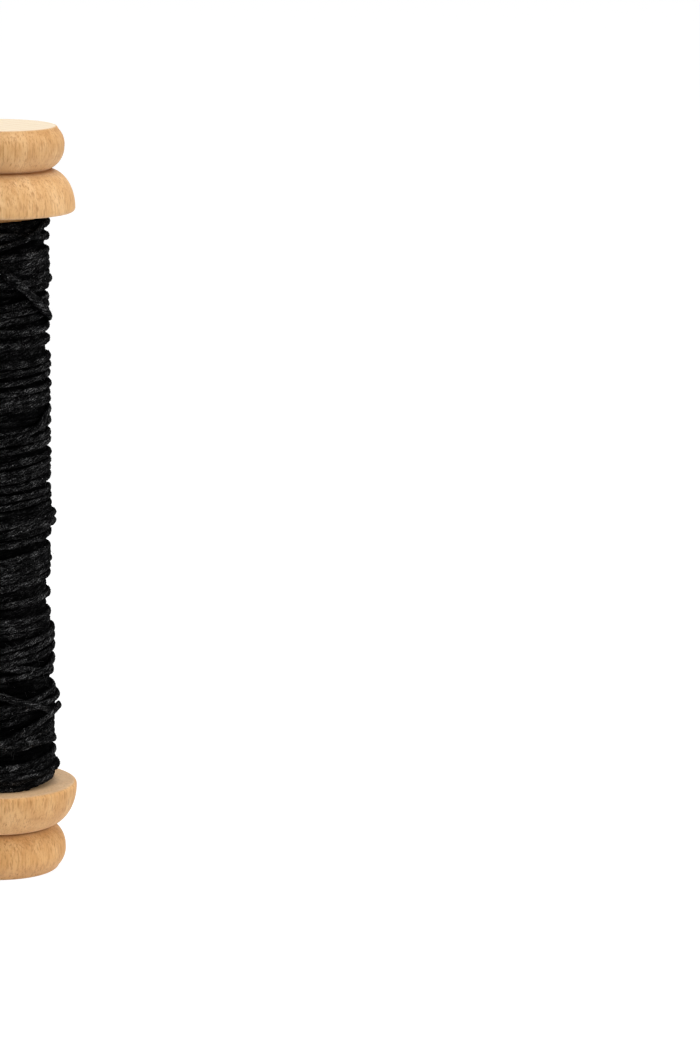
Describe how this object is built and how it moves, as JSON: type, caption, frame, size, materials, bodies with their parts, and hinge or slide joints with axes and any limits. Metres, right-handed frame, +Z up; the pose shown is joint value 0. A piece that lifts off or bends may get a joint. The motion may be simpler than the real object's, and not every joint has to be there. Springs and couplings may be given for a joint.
{
  "type": "wound thread spool",
  "caption": "Tall turned beech spool with a rounded knob and domed flange at each end, its slim barrel wound with black thread.",
  "frame": {"origin": "centre of the foot's flat end face, on the surface that the spool stands on", "axes": "+Z up the spool's axis towards the other end face; the thread's tucked end stands proud on the +X side and its crossing turn faces -Y"},
  "size_m": [0.0242, 0.0242, 0.115],
  "materials": {
    "beech": "bare turned beech, fine sanded, with short dark flecks along the grain",
    "black_thread": "soft matt black spun thread with a little fuzz"
  },
  "bodies": {
    "root": {"turned_spool": "beech", "thread_first_layer": "black_thread", "thread_second_layer": "black_thread", "thread_third_layer": "black_thread", "thread_crossing_turn": "black_thread", "thread_tucked_end": "black_thread"}
  },
  "joints": []
}
